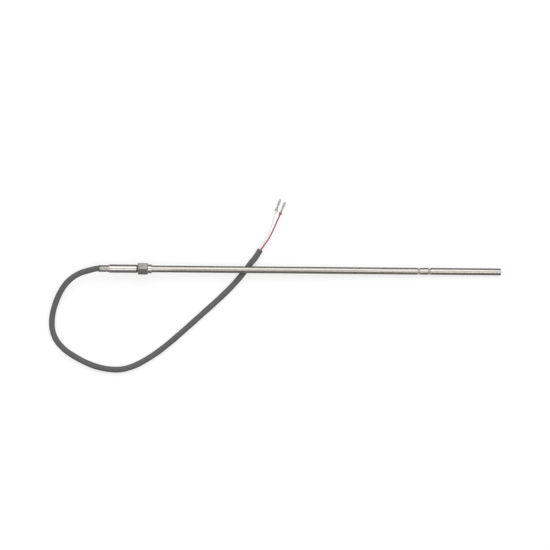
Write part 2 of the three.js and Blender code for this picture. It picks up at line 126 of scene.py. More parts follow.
class Bench:
    """The hand-modelling steps that the sub-assemblies share."""

    @staticmethod
    def clear() -> None:
        """Leaves edit mode and deselects everything."""
        if bpy.context.mode != "OBJECT":
            bpy.ops.object.mode_set(mode="OBJECT")
        bpy.ops.object.select_all(action="DESELECT")

    @classmethod
    def pick(cls, *pieces: MeshObject) -> MeshObject:
        """Selects only these pieces and makes the first one active.

        Args:
            pieces: The pieces to select.

        Returns:
            The active piece.
        """
        cls.clear()
        for piece in pieces:
            piece.select_set(True)
        bpy.context.view_layer.objects.active = pieces[0]
        return pieces[0]

    @staticmethod
    def named(name: str) -> MeshObject:
        """Names the active object and its mesh."""
        piece = bpy.context.active_object
        piece.name = name
        piece.data.name = name
        return piece

    @classmethod
    def turned(cls, name: str, profile: Profile, sides: int = 96) -> MeshObject:
        """Turns a profile about the X axis, as on a lathe.

        Args:
            name: The piece's name.
            profile: Stations and radii. It starts and ends on the axis, or closes on itself.
            sides: Steps round the axis.

        Returns:
            A closed piece whose faces point outwards.
        """
        cls.clear()
        bpy.ops.mesh.primitive_plane_add(size=MM)
        piece = cls.named(name)
        bpy.ops.object.mode_set(mode="EDIT")
        bpy.ops.mesh.select_mode(type="VERT")
        bpy.ops.mesh.select_all(action="SELECT")
        bpy.ops.mesh.merge(type="CENTER")
        bpy.ops.transform.translate(value=(profile[0][0], 0, profile[0][1]))
        for (x0, r0), (x1, r1) in zip(profile, profile[1:]):
            step = {"value": (x1 - x0, 0, r1 - r0)}
            bpy.ops.mesh.extrude_vertices_move(TRANSFORM_OT_translate=step)
        bpy.ops.mesh.select_all(action="SELECT")
        bpy.ops.mesh.spin(steps=sides, angle=FULL_TURN, center=(0, 0, 0), axis=(1, 0, 0))
        cls.close_skin()
        return piece

    @classmethod
    def close_skin(cls, merge: float = 0.002 * MM) -> None:
        """Merges doubles, points every face outwards and leaves edit mode."""
        bpy.ops.mesh.select_all(action="SELECT")
        bpy.ops.mesh.remove_doubles(threshold=merge)
        bpy.ops.mesh.dissolve_degenerate(threshold=merge / 10)
        bpy.ops.mesh.select_all(action="SELECT")
        bpy.ops.mesh.normals_make_consistent(inside=False)
        bpy.ops.object.mode_set(mode="OBJECT")

    @classmethod
    def clean(cls, piece: MeshObject) -> MeshObject:
        """Clears the slivers that cutting and bevelling leave on a piece."""
        cls.pick(piece)
        bpy.ops.object.mode_set(mode="EDIT")
        cls.close_skin()
        return piece

    @classmethod
    def smooth(cls, piece: MeshObject, degrees: float = 32) -> MeshObject:
        """Shades a piece smooth across edges flatter than an angle."""
        cls.pick(piece)
        bpy.ops.object.shade_smooth_by_angle(angle=math.radians(degrees))
        return piece

    @classmethod
    def soften(cls, piece: MeshObject, width: float, degrees: float = 35, segments: int = 2) -> None:
        """Rounds every edge that is sharper than an angle.

        Args:
            piece: The piece to soften.
            width: The rounding's width.
            degrees: The angle from which an edge is rounded.
            segments: The rounding's steps.
        """
        cls.pick(piece)
        bevel = piece.modifiers.new("soften", "BEVEL")
        bevel.width = width
        bevel.segments = segments
        bevel.limit_method = "ANGLE"
        bevel.angle_limit = math.radians(degrees)
        bpy.ops.object.modifier_apply(modifier=bevel.name)

    @classmethod
    def combine(cls, piece: MeshObject, tool: MeshObject, operation: str) -> MeshObject:
        """Joins, cuts or intersects a piece with a tool piece, which is used up.

        Args:
            piece: The piece that stays.
            tool: The piece that is used up.
            operation: UNION, DIFFERENCE or INTERSECT.

        Returns:
            The piece that stays.
        """
        cls.pick(piece)
        boolean = piece.modifiers.new("combine", "BOOLEAN")
        boolean.operation = operation
        boolean.solver = "EXACT"
        boolean.object = tool
        bpy.ops.object.modifier_apply(modifier=boolean.name)
        bpy.data.objects.remove(tool, do_unlink=True)
        return piece

    @classmethod
    def place(cls, piece: MeshObject, matrix: Matrix) -> MeshObject:
        """Lays a level piece in its place and puts the place in its mesh."""
        cls.pick(piece)
        piece.matrix_world = matrix
        bpy.ops.object.transform_apply(location=True, rotation=True, scale=True)
        return piece

    @classmethod
    def box(cls, name: str, low: Point, high: Point) -> MeshObject:
        """A box between two corners, made from the cube primitive."""
        cls.clear()
        middle = [(a + b) / 2 for a, b in zip(low, high)]
        sides = [b - a for a, b in zip(low, high)]
        bpy.ops.mesh.primitive_cube_add(size=1, location=middle, scale=sides)
        piece = cls.named(name)
        bpy.ops.object.transform_apply(location=True, rotation=True, scale=True)
        return piece


def rolled_groove(centre: float, width: float, depth: float, radius: float, steps: int = 18) -> Profile:
    """The points of a groove rolled into a round surface.

    Args:
        centre: The groove's middle station.
        width: The groove's width along the axis.
        depth: How much the radius drops at the middle.
        radius: The radius either side of the groove.
        steps: Steps across the groove.

    Returns:
        Stations and radii from the groove's back to its front.
    """
    points = []
    for i in range(steps + 1):
        share = i / steps
        dip = depth * 0.5 * (1 - math.cos(share * FULL_TURN))
        points.append((centre + (share - 0.5) * width, radius - dip))
    return points


def quarter_round(centre: tuple[float, float], radius: float, start: float, steps: int = 6) -> Profile:
    """A quarter circle in a profile, turning clockwise from a starting angle in degrees."""
    points = []
    for i in range(steps + 1):
        angle = math.radians(start - 90 * i / steps)
        points.append((centre[0] + radius * math.cos(angle), centre[1] + radius * math.sin(angle)))
    return points


# ------------------------------------------------------------------ cords


def centripetal(points: Sequence[Point], per_span: int = 12) -> list[Vector]:
    """Points on a centripetal Catmull-Rom curve through a cord's route.

    Args:
        points: The route's points.
        per_span: Samples for each span of the route.

    Returns:
        The curve's points, in order, ends included.
    """
    route = [Vector(point) for point in points]
    route.insert(0, route[0] * 2 - route[1])
    route.append(route[-1] * 2 - route[-2])
    samples: list[Vector] = []
    for i in range(1, len(route) - 2):
        p0, p1, p2, p3 = route[i - 1 : i + 3]
        t1 = (p1 - p0).length ** 0.5
        t2 = t1 + (p2 - p1).length ** 0.5
        t3 = t2 + (p3 - p2).length ** 0.5
        for k in range(per_span):
            t = t1 + (t2 - t1) * k / per_span
            a1 = p0.lerp(p1, t / t1)
            a2 = p1.lerp(p2, (t - t1) / (t2 - t1))
            a3 = p2.lerp(p3, (t - t2) / (t3 - t2))
            b1 = a1.lerp(a2, t / t2)
            b2 = a2.lerp(a3, (t - t1) / (t3 - t1))
            samples.append(b1.lerp(b2, (t - t1) / (t2 - t1)))
    samples.append(route[-2].copy())
    return samples


@dataclass
class Path:
    """A cord's centreline, with the distance along it and a frame that doesn't twist."""

    points: list[Vector]
    runs: list[float] = field(init=False)
    normals: list[Vector] = field(init=False)

    def __post_init__(self) -> None:
        """Works out the distances and carries the first normal along the line."""
        self.runs = [0.0]
        for a, b in zip(self.points, self.points[1:]):
            self.runs.append(self.runs[-1] + (b - a).length)
        tangent = self.tangent(0)
        normal = tangent.cross(Vector((0, 0, 1))).cross(tangent).normalized()
        self.normals = [normal]
        for i in range(1, len(self.points)):
            turn = tangent.rotation_difference(self.tangent(i))
            tangent = self.tangent(i)
            normal = turn @ normal
            normal = (normal - tangent * normal.dot(tangent)).normalized()
            self.normals.append(normal)

    def length(self) -> float:
        """The centreline's length."""
        return self.runs[-1]

    def tangent(self, index: int) -> Vector:
        """The direction of the line at one of its points."""
        before = max(index - 1, 0)
        after = min(index + 1, len(self.points) - 1)
        return (self.points[after] - self.points[before]).normalized()

    def at(self, run: float) -> tuple[Vector, Vector, Vector]:
        """The place, tangent and normal at a distance along the line.

        Args:
            run: The distance, which may be a little past either end.

        Returns:
            The point, the tangent and the normal there.
        """
        last = len(self.points) - 2
        index = next((i for i in range(last) if self.runs[i + 1] > run), last)
        share = (run - self.runs[index]) / (self.runs[index + 1] - self.runs[index])
        point = self.points[index].lerp(self.points[index + 1], share)
        inner = min(max(share, 0.0), 1.0)
        tangent = self.tangent(index).lerp(self.tangent(index + 1), inner).normalized()
        normal = self.normals[index].lerp(self.normals[index + 1], inner)
        return point, tangent, (normal - tangent * normal.dot(tangent)).normalized()


def swept(
    name: str,
    path: Path,
    rings: Sequence[tuple[float, float]],
    sides: int,
    relief: Callable[[float, float], float] = lambda run, angle: 0.0,
) -> MeshObject:
    """Sweeps a round skin along a path, closed at both ends.

    Args:
        name: The piece's name.
        path: The centreline.
        rings: Distance along the path and radius of each ring, in order over the skin.
        sides: Points round each ring.
        relief: Height added to the radius at a distance and an angle.

    Returns:
        A closed mesh with a UV map: metres along the path, and turns round it.
    """
    vertices: list[Vector] = []
    for run, radius in rings:
        point, tangent, normal = path.at(run)
        side = tangent.cross(normal)
        for k in range(sides):
            angle = FULL_TURN * k / sides
            reach = radius + relief(run, angle)
            vertices.append(point + (normal * math.cos(angle) + side * math.sin(angle)) * reach)
    start, end = len(vertices), len(vertices) + 1
    vertices += [path.at(rings[0][0])[0], path.at(rings[-1][0])[0]]

    faces: list[tuple[int, ...]] = []
    uvs: list[tuple[float, float]] = []
    for i in range(len(rings) - 1):
        for k in range(sides):
            after = (k + 1) % sides
            base, ahead = i * sides, (i + 1) * sides
            faces.append((base + k, base + after, ahead + after, ahead + k))
            low, high = k / sides, (k + 1) / sides
            near, far = rings[i][0], rings[i + 1][0]
            uvs += [(near, low), (near, high), (far, high), (far, low)]
    final = (len(rings) - 1) * sides
    for k in range(sides):
        after = (k + 1) % sides
        faces.append((start, after, k))
        faces.append((end, final + k, final + after))
        uvs += [(rings[0][0], k / sides)] * 3 + [(rings[-1][0], k / sides)] * 3

    mesh = bpy.data.meshes.new(name)
    mesh.from_pydata(vertices, [], faces)
    layer = mesh.uv_layers.new(name="along")
    for loop, uv in zip(layer.data, uvs):
        loop.uv = uv
    piece = bpy.data.objects.new(name, mesh)
    bpy.context.scene.collection.objects.link(piece)
    return Bench.smooth(piece, 40)


# ------------------------------------------------------------------ shader groups


class Tree:
    """A node tree with short ways to add nodes and join them."""

    def __init__(self, tree: bpy.types.NodeTree) -> None:
        """Keeps the tree."""
        self.tree = tree

    def add(self, kind: str, **settings: object) -> bpy.types.Node:
        """Adds a node and sets its properties."""
        node = self.tree.nodes.new(kind)
        for key, value in settings.items():
            setattr(node, key, value)
        return node

    def feed(self, node: bpy.types.Node, **values: object) -> bpy.types.Node:
        """Fills a node's inputs with sockets or plain values.

        Args:
            node: The node.
            values: Input names, with _ for a space, and a socket or value for each.

        Returns:
            The node.
        """
        for key, value in values.items():
            socket = node.inputs[key.replace("_", " ")]
            if isinstance(value, bpy.types.NodeSocket):
                self.tree.links.new(value, socket)
            else:
                socket.default_value = value
        return node

    def math(self, operation: str, a: object, b: object = 0.0, clamp: bool = False) -> Socket:
        """Adds a Math node and returns its result."""
        node = self.add("ShaderNodeMath", operation=operation, use_clamp=clamp)
        for socket, value in zip(node.inputs, (a, b)):
            if isinstance(value, bpy.types.NodeSocket):
                self.tree.links.new(value, socket)
            else:
                socket.default_value = value
        return node.outputs[0]

    def spread(
        self, value: Socket, low: float, high: float, floor: float = 0.0, top: float = 1.0
    ) -> Socket:
        """Maps a value from floor..top to low..high."""
        node = self.add("ShaderNodeMapRange")
        self.feed(node, Value=value, From_Min=floor, From_Max=top, To_Min=low, To_Max=high)
        return node.outputs["Result"]

    def blend(self, mask: Socket, a: Socket | Sequence[float], b: Sequence[float]) -> Socket:
        """Mixes two colours by a mask that varies over the surface.

        Args:
            mask: 0 for the first colour, 1 for the second.
            a: The first colour, or the socket that it comes from.
            b: The second colour.

        Returns:
            The mixed colour.
        """
        node = self.add("ShaderNodeMix", data_type="RGBA")
        self.tree.links.new(mask, node.inputs["Factor"])
        if isinstance(a, bpy.types.NodeSocket):
            self.tree.links.new(a, node.inputs[6])
        else:
            node.inputs[6].default_value = (*a, 1)
        node.inputs[7].default_value = (*b, 1)
        return node.outputs[2]


class GroupBook:
    """The shader effects that several materials share, each built once."""

    def __init__(self) -> None:
        """Starts with no groups."""
        self.built: dict[str, bpy.types.NodeTree] = {}

    def open(self, name: str, inputs: dict[str, float | None], outputs: Sequence[str]) -> Tree:
        """Starts a group with named sockets.

        Args:
            name: The group's name.
            inputs: Socket names, each with a default, or None for a vector.
            outputs: The names of the float outputs.

        Returns:
            The group's tree.
        """
        group = bpy.data.node_groups.new(name, "ShaderNodeTree")
        for label, default in inputs.items():
            kind = "NodeSocketVector" if default is None else "NodeSocketFloat"
            socket = group.interface.new_socket(label, in_out="INPUT", socket_type=kind)
            if default is not None:
                socket.default_value = default
        for label in outputs:
            group.interface.new_socket(label, in_out="OUTPUT", socket_type="NodeSocketFloat")
        self.built[name] = group
        return Tree(group)

    def grain(self) -> bpy.types.NodeTree:
        """Fine even grain, as on plating, rubber and moulded plastic."""
        if "grain" in self.built:
            return self.built["grain"]
        tree = self.open("grain", {"Vector": None, "Scale": 2000.0, "Roughness": 0.6}, ["Mask"])
        given = tree.add("NodeGroupInput")
        noise = tree.add("ShaderNodeTexNoise")
        tree.feed(
            noise,
            Vector=given.outputs[0],
            Scale=given.outputs[1],
            Detail=4.0,
            Roughness=given.outputs[2],
        )
        result = tree.add("NodeGroupOutput")
        tree.tree.links.new(tree.spread(noise.outputs[0], 0, 1, 0.3, 0.7), result.inputs[0])
        return self.built["grain"]

    def draw_lines(self) -> bpy.types.NodeTree:
        """Fine lines along a drawn or polished round piece, longer than they are wide."""
        if "draw_lines" in self.built:
            return self.built["draw_lines"]
        inputs = {"Vector": None, "Stretch": 0.02, "Scale": 2500.0}
        tree = self.open("draw_lines", inputs, ["Mask"])
        given = tree.add("NodeGroupInput")
        apart = tree.add("ShaderNodeSeparateXYZ")
        tree.feed(apart, Vector=given.outputs[0])
        along = tree.math("MULTIPLY", apart.outputs[0], given.outputs[1])
        joined = tree.add("ShaderNodeCombineXYZ")
        tree.feed(joined, X=along, Y=apart.outputs[1], Z=apart.outputs[2])
        noise = tree.add("ShaderNodeTexNoise")
        tree.feed(noise, Vector=joined.outputs[0], Scale=given.outputs[2], Detail=3.0, Roughness=0.55)
        result = tree.add("NodeGroupOutput")
        tree.tree.links.new(tree.spread(noise.outputs[0], 0, 1, 0.35, 0.65), result.inputs[0])
        return self.built["draw_lines"]

    def turned_lines(self) -> bpy.types.NodeTree:
        """Fine rings round a piece that was turned or ring-rolled."""
        if "turned_lines" in self.built:
            return self.built["turned_lines"]
        tree = self.open("turned_lines", {"Vector": None, "Scale": 4000.0}, ["Mask"])
        given = tree.add("NodeGroupInput")
        apart = tree.add("ShaderNodeSeparateXYZ")
        tree.feed(apart, Vector=given.outputs[0])
        noise = tree.add("ShaderNodeTexNoise", noise_dimensions="1D")
        tree.feed(noise, W=apart.outputs[0], Scale=given.outputs[1], Detail=2.0, Roughness=0.5)
        result = tree.add("NodeGroupOutput")
        tree.tree.links.new(tree.spread(noise.outputs[0], 0, 1, 0.3, 0.7), result.inputs[0])
        return self.built["turned_lines"]

    def blotches(self) -> bpy.types.NodeTree:
        """Broad soft patches, as of handling marks, tarnishing or uneven colour."""
        if "blotches" in self.built:
            return self.built["blotches"]
        tree = self.open("blotches", {"Vector": None, "Scale": 60.0, "Contrast": 1.0}, ["Mask"])
        given = tree.add("NodeGroupInput")
        noise = tree.add("ShaderNodeTexNoise")
        tree.feed(noise, Vector=given.outputs[0], Scale=given.outputs[1], Detail=5.0, Roughness=0.6)
        centred = tree.math("SUBTRACT", noise.outputs[0], 0.5)
        strong = tree.math("MULTIPLY", centred, given.outputs[2])
        result = tree.add("NodeGroupOutput")
        tree.tree.links.new(tree.math("ADD", strong, 0.5, clamp=True), result.inputs[0])
        return self.built["blotches"]

    def edge_wear(self) -> bpy.types.NodeTree:
        """A mask that is bright on convex edges, where handling rubs a finish."""
        if "edge_wear" in self.built:
            return self.built["edge_wear"]
        tree = self.open("edge_wear", {"Radius": 0.0003, "Strength": 3.0}, ["Mask"])
        given = tree.add("NodeGroupInput")
        bevel = tree.add("ShaderNodeBevel", samples=6)
        tree.feed(bevel, Radius=given.outputs[0])
        geometry = tree.add("ShaderNodeNewGeometry")
        dot = tree.add("ShaderNodeVectorMath", operation="DOT_PRODUCT")
        tree.tree.links.new(bevel.outputs[0], dot.inputs[0])
        tree.tree.links.new(geometry.outputs["Normal"], dot.inputs[1])
        lost = tree.math("SUBTRACT", 1.0, dot.outputs["Value"])
        result = tree.add("NodeGroupOutput")
        tree.tree.links.new(tree.math("MULTIPLY", lost, given.outputs[1], clamp=True), result.inputs[0])
        return self.built["edge_wear"]


GROUPS = GroupBook()


class Surface(Tree):
    """A material in the making: its tree, its shader and the shared effects placed in it."""

    def __init__(self, name: str) -> None:
        """Starts a material with a fresh Principled shader.

        Args:
            name: The material's name.
        """
        self.material = bpy.data.materials.new(name)
        self.material.use_nodes = True
        super().__init__(self.material.node_tree)
        self.shader = self.tree.nodes["Principled BSDF"]

    def place(self, axis: ProbeAxis | None = None) -> Socket:
        """Object coordinates, levelled along the probe's axis where one is given."""
        source = self.add("ShaderNodeTexCoord").outputs["Object"]
        if axis is None:
            return source
        mapping = self.add("ShaderNodeMapping", vector_type="TEXTURE")
        self.feed(mapping, Vector=source, Location=axis.mouth, Rotation=(0, axis.pitch, 0))
        return mapping.outputs[0]

    def effect(self, group: bpy.types.NodeTree, **values: object) -> Socket:
        """Places a shared effect with its own values and returns its mask."""
        node = self.add("ShaderNodeGroup", node_tree=group)
        self.feed(node, **values)
        return node.outputs[0]

    def bump(self, height: Socket, distance: float, strength: float = 1.0) -> None:
        """Feeds a height to the shader's normal.

        Args:
            height: The height's socket.
            distance: The relief's depth in metres.
            strength: The bump's strength.
        """
        node = self.add("ShaderNodeBump")
        self.feed(node, Strength=strength, Distance=distance, Height=height)
        self.feed(self.shader, Normal=node.outputs[0])


# ------------------------------------------------------------------ finishes


@dataclass(frozen=True)
class DrawnMetal:
    """Bright metal with fine lines along the probe, and soft random patches of tone.

    Between two given stations, one side of the tube carries a warm painted shade that dims the strip
    light's reflection.
    """

    name: str
    light: tuple[float, float, float]
    dark: tuple[float, float, float]
    roughness: float
    line_scale: float = 2600.0
    line_depth: float = 0.002 * MM
    painted_shade_span: tuple[float, float] | None = None
    painted_shade_colour: tuple[float, float, float] = (0.47, 0.41, 0.365)
    painted_shade_onset: float = 8 * MM
    painted_shade_fade: float = 90 * MM
    painted_shade_inner: tuple[float, float] = (-0.5 * MM, 0.6 * MM)
    painted_shade_outer: tuple[float, float] = (-1.8 * MM, -1.2 * MM)
    line_share: float = 0.35
    patch_share: float = 0.65

    def make(self, axis: ProbeAxis) -> bpy.types.Material:
        """Builds the material on the probe's axis."""
        surface = Surface(self.name)
        place = surface.place(axis)
        lines = surface.effect(GROUPS.draw_lines(), Vector=place, Stretch=0.015, Scale=self.line_scale)
        patches = surface.effect(GROUPS.blotches(), Vector=place, Scale=45.0, Contrast=0.8)
        lined = surface.math("MULTIPLY", lines, self.line_share)
        patched = surface.math("MULTIPLY", patches, self.patch_share)
        tone = surface.math("ADD", lined, patched)
        colour = surface.blend(tone, self.dark, self.light)
        if self.painted_shade_span:
            # Painted shade: a warm darker band over the strip light's reflection, on one side of the
            # tube between the given stations.
            colour = surface.blend(self.painted_shade_mask(surface, place), colour, self.painted_shade_colour)
        surface.feed(surface.shader, Base_Color=colour, Metallic=1.0)
        rough = surface.spread(tone, self.roughness * 1.2, self.roughness * 0.85)
        surface.feed(surface.shader, Roughness=rough)
        surface.bump(lines, self.line_depth, 0.35)
        return surface.material

    def painted_shade_mask(self, surface: Surface, place: Socket) -> Socket:
        """A mask for the painted shade on the strip light's side of the tube, which starts sharply and
        fades out along the tube.

        Args:
            surface: The material in the making.
            place: The levelled place.

        Returns:
            The mask.
        """
        apart = surface.add("ShaderNodeSeparateXYZ")
        surface.feed(apart, Vector=place)
        low, high = self.painted_shade_span
        begun = surface.spread(apart.outputs[0], 0, 1, low, low + self.painted_shade_onset)
        fading = surface.spread(apart.outputs[0], 1, 0, high - self.painted_shade_fade, high)
        upper = surface.spread(apart.outputs[1], 1, 0, *self.painted_shade_inner)
        lower = surface.spread(apart.outputs[1], 0, 1, *self.painted_shade_outer)
        along = surface.math("MULTIPLY", begun, fading)
        return surface.math("MULTIPLY", along, surface.math("MULTIPLY", upper, lower))


@dataclass(frozen=True)
class TurnedMetal:
    """Metal with fine rings left by turning or polishing on a lathe."""

    name: str
    light: tuple[float, float, float]
    dark: tuple[float, float, float]
    roughness: float
    ring_depth: float = 0.0012 * MM
    thread: tuple[float, float] | None = None
    thread_radius: float = 3.76 * MM
    mouth: float = 1.0 * MM
    mouth_blur: float = 0.3 * MM
    # The dark colour painted as shade in the thread beside the nut and at the neck's mouth.
    painted_gap_shade: tuple[float, float, float] = (0.2, 0.19, 0.17)

    def make(self, axis: ProbeAxis) -> bpy.types.Material:
        """Builds the material on the probe's axis."""
        surface = Surface(self.name)
        place = surface.place(axis)
        rings = surface.effect(GROUPS.turned_lines(), Vector=place, Scale=5200.0)
        patches = surface.effect(GROUPS.blotches(), Vector=place, Scale=110.0, Contrast=0.9)
        worn = surface.effect(GROUPS.edge_wear(), Radius=0.12 * MM, Strength=2.0)
        tone = surface.math("MAXIMUM", patches, worn)
        colour = surface.blend(tone, self.dark, self.light)
        if self.thread:
            # Painted shade: dark colour in the thread beside the nut and at the neck's mouth.
            colour = surface.blend(self.gap_shade_mask(surface, place), colour, self.painted_gap_shade)
        surface.feed(surface.shader, Base_Color=colour, Metallic=1.0)
        rough = surface.spread(rings, self.roughness * 0.85, self.roughness * 1.25)
        surface.feed(surface.shader, Roughness=rough)
        surface.bump(rings, self.ring_depth, 0.3)
        return surface.material

    def gap_shade_mask(self, surface: Surface, place: Socket) -> Socket:
        """A mask that is bright in the thread and at the neck's mouth, where dark colour is painted as
        shade: in the gap between sleeve and nut, and in the mouth round the cable.

        Args:
            surface: The material in the making.
            place: The levelled place.

        Returns:
            The mask.
        """
        apart = surface.add("ShaderNodeSeparateXYZ")
        surface.feed(apart, Vector=place)
        low, high = self.thread
        past = surface.math("GREATER_THAN", apart.outputs[0], low)
        short = surface.math("LESS_THAN", apart.outputs[0], high)
        across = surface.math("POWER", apart.outputs[1], 2.0)
        up = surface.math("POWER", apart.outputs[2], 2.0)
        reach = surface.math("SQRT", surface.math("ADD", across, up))
        inner = surface.math("LESS_THAN", reach, self.thread_radius)
        threaded = surface.math("MULTIPLY", surface.math("MULTIPLY", past, short), inner)
        inside, outside = self.mouth - self.mouth_blur, self.mouth + self.mouth_blur
        at_mouth = surface.spread(apart.outputs[0], 1, 0, inside, outside)
        return surface.math("MAXIMUM", threaded, at_mouth)


@dataclass(frozen=True)
class DullPlate:
    """Dull plated steel: grainy, blotched, and rubbed brighter on its edges.

    Past the station polished_from, where one is given, the piece is turned and polished instead.
    """

    name: str
    light: tuple[float, float, float]
    dark: tuple[float, float, float]
    roughness: float
    grain_scale: float = 3200.0
    grain_depth: float = 0.006 * MM
    polished_from: float | None = None
    polished: tuple[float, float, float] = (0.74, 0.715, 0.66)
    polished_roughness: float = 0.17

    def make(self, axis: ProbeAxis) -> bpy.types.Material:
        """Builds the material on the probe's axis."""
        surface = Surface(self.name)
        place = surface.place(axis)
        grain = surface.effect(GROUPS.grain(), Vector=place, Scale=self.grain_scale, Roughness=0.65)
        patches = surface.effect(GROUPS.blotches(), Vector=place, Scale=260.0, Contrast=2.0)
        worn = surface.effect(GROUPS.edge_wear(), Radius=0.22 * MM, Strength=3.5)
        tone = surface.math("MAXIMUM", surface.math("MULTIPLY", patches, 0.8), worn)
        colour = surface.blend(tone, self.dark, self.light)
        rough = surface.spread(grain, self.roughness * 0.8, self.roughness * 1.2)
        relief = grain
        if self.polished_from is not None:
            apart = surface.add("ShaderNodeSeparateXYZ")
            surface.feed(apart, Vector=place)
            dull = surface.math("LESS_THAN", apart.outputs[0], self.polished_from)
            shiny = surface.math("SUBTRACT", 1.0, dull)
            colour = surface.blend(shiny, colour, self.polished)
            kept = surface.math("MULTIPLY", rough, dull)
            rough = surface.math("ADD", kept, surface.math("MULTIPLY", shiny, self.polished_roughness))
            relief = surface.math("MULTIPLY", grain, dull)
        surface.feed(surface.shader, Base_Color=colour, Roughness=rough, Metallic=1.0)
        surface.bump(relief, self.grain_depth, 0.7)
        return surface.material


@dataclass(frozen=True)
class Insulating:
    """A matt or satin insulating material: ceramic, cement, epoxy or shrink sleeve."""

    name: str
    light: tuple[float, float, float]
    dark: tuple[float, float, float]
    roughness: float
    grain_scale: float = 1800.0
    grain_depth: float = 0.01 * MM

    def make(self, axis: ProbeAxis) -> bpy.types.Material:
        """Builds the material on the probe's axis."""
        surface = Surface(self.name)
        place = surface.place(axis)
        grain = surface.effect(GROUPS.grain(), Vector=place, Scale=self.grain_scale, Roughness=0.6)
        patches = surface.effect(GROUPS.blotches(), Vector=place, Scale=140.0, Contrast=1.5)
        surface.feed(surface.shader, Base_Color=surface.blend(patches, self.dark, self.light))
        rough = surface.spread(grain, self.roughness * 0.85, min(self.roughness * 1.15, 1.0))
        surface.feed(surface.shader, Roughness=rough)
        surface.bump(grain, self.grain_depth, 0.5)
        return surface.material


@dataclass(frozen=True)
class CordSkin:
    """A cable jacket or core insulation, patterned by metres along it and turns round it."""

    name: str
    light: tuple[float, float, float]
    dark: tuple[float, float, float]
    roughness: float
    girth: float
    grain_scale: float = 1500.0
    grain_depth: float = 0.008 * MM

    def make(self) -> bpy.types.Material:
        """Builds the material on the cord's own UV map."""
        surface = Surface(self.name)
        chart = surface.add("ShaderNodeUVMap", uv_map="along")
        apart = surface.add("ShaderNodeSeparateXYZ")
        surface.feed(apart, Vector=chart.outputs[0])
        turns = surface.math("MULTIPLY", apart.outputs[1], FULL_TURN)
        across = surface.math("MULTIPLY", surface.math("COSINE", turns), self.girth / 2)
        up = surface.math("MULTIPLY", surface.math("SINE", turns), self.girth / 2)
        joined = surface.add("ShaderNodeCombineXYZ")
        surface.feed(joined, X=apart.outputs[0], Y=across, Z=up)
        place = joined.outputs[0]
        grain = surface.effect(GROUPS.grain(), Vector=place, Scale=self.grain_scale, Roughness=0.7)
        patches = surface.effect(GROUPS.blotches(), Vector=place, Scale=70.0, Contrast=1.4)
        surface.feed(surface.shader, Base_Color=surface.blend(patches, self.dark, self.light))
        rough = surface.spread(grain, self.roughness * 0.85, self.roughness * 1.15)
        surface.feed(surface.shader, Roughness=rough)
        surface.bump(grain, self.grain_depth, 0.5)
        return surface.material


# The sheath carries painted shade: a warm darker band over the strip light's reflection, from 62 to 290
# mm.
STAINLESS_SHEATH = DrawnMetal(
    "stainless_drawn", (0.71, 0.68, 0.625), (0.57, 0.54, 0.485), 0.24, painted_shade_span=(62 * MM, 290 * MM)
)
# The sleeve carries painted shade in its thread, next to the nut, and at the neck's mouth.
STAINLESS_POLISHED = TurnedMetal(
    "stainless_polished", (0.77, 0.745, 0.69), (0.67, 0.645, 0.595), 0.17, thread=(35.3 * MM, 43 * MM)
)
NUT_PLATE = DullPlate(
    "nut_plate", (0.56, 0.535, 0.485), (0.33, 0.31, 0.28), 0.4, polished_from=45.95 * MM
)
FERRULE_BRASS = TurnedMetal("ferrule_brass", (0.75, 0.6, 0.33), (0.6, 0.46, 0.24), 0.25)
TIN_PLATE = DullPlate("tin_plate", (0.78, 0.78, 0.76), (0.64, 0.64, 0.62), 0.4, 2600.0, 0.003 * MM)
CERAMIC = Insulating("fired_ceramic", (0.9, 0.87, 0.8), (0.8, 0.76, 0.68), 0.65)
CEMENT = Insulating("junction_cement", (0.82, 0.79, 0.72), (0.66, 0.63, 0.56), 0.9, 2400.0, 0.03 * MM)
EPOXY = Insulating("potting_epoxy", (0.07, 0.065, 0.055), (0.03, 0.028, 0.024), 0.35)
SHRINK = Insulating("shrink_sleeve", (0.04, 0.04, 0.042), (0.02, 0.02, 0.021), 0.55)
CORE_RED_INSIDE = Insulating("core_red_inside", (0.62, 0.08, 0.1), (0.5, 0.05, 0.07), 0.45)
CORE_WHITE_INSIDE = Insulating("core_white_inside", (0.88, 0.87, 0.84), (0.8, 0.79, 0.75), 0.45)
JACKET_INSIDE = Insulating("jacket_inside", (0.13, 0.13, 0.135), (0.1, 0.1, 0.105), 0.6)
IRON_WIRE = DrawnMetal("iron_wire", (0.46, 0.43, 0.4), (0.3, 0.28, 0.26), 0.4)
CONSTANTAN_WIRE = DrawnMetal("constantan_wire", (0.66, 0.6, 0.5), (0.5, 0.45, 0.38), 0.35)
JACKET_SKIN = CordSkin("cable_jacket_skin", (0.138, 0.138, 0.138), (0.108, 0.108, 0.108), 0.62, 5.4 * MM)
RED_SKIN = CordSkin("core_red_skin", (0.45, 0.085, 0.125), (0.38, 0.065, 0.1), 0.45, 1.3 * MM)
WHITE_SKIN = CordSkin("core_white_skin", (0.96, 0.95, 0.93), (0.92, 0.91, 0.88), 0.5, 1.3 * MM)


def dress(piece: MeshObject, material: bpy.types.Material) -> None:
    """Gives a piece one material on every face."""
    piece.data.materials.clear()
    piece.data.materials.append(material)


def fit(piece: MeshObject, body: Body, nodes: Iterable[str] = ()) -> None:
    """Makes a finished piece ride on its body and stand for its CAD nodes.

    Args:
        piece: The finished piece.
        body: The body that it moves with.
        nodes: The CAD nodes that it stands for.
    """
    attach(piece, body.value)
    if nodes:
        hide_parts(*nodes)
    LOG.info("%s: %d faces on %s", piece.name, len(piece.data.polygons), body.value)


# ------------------------------------------------------------------ studio


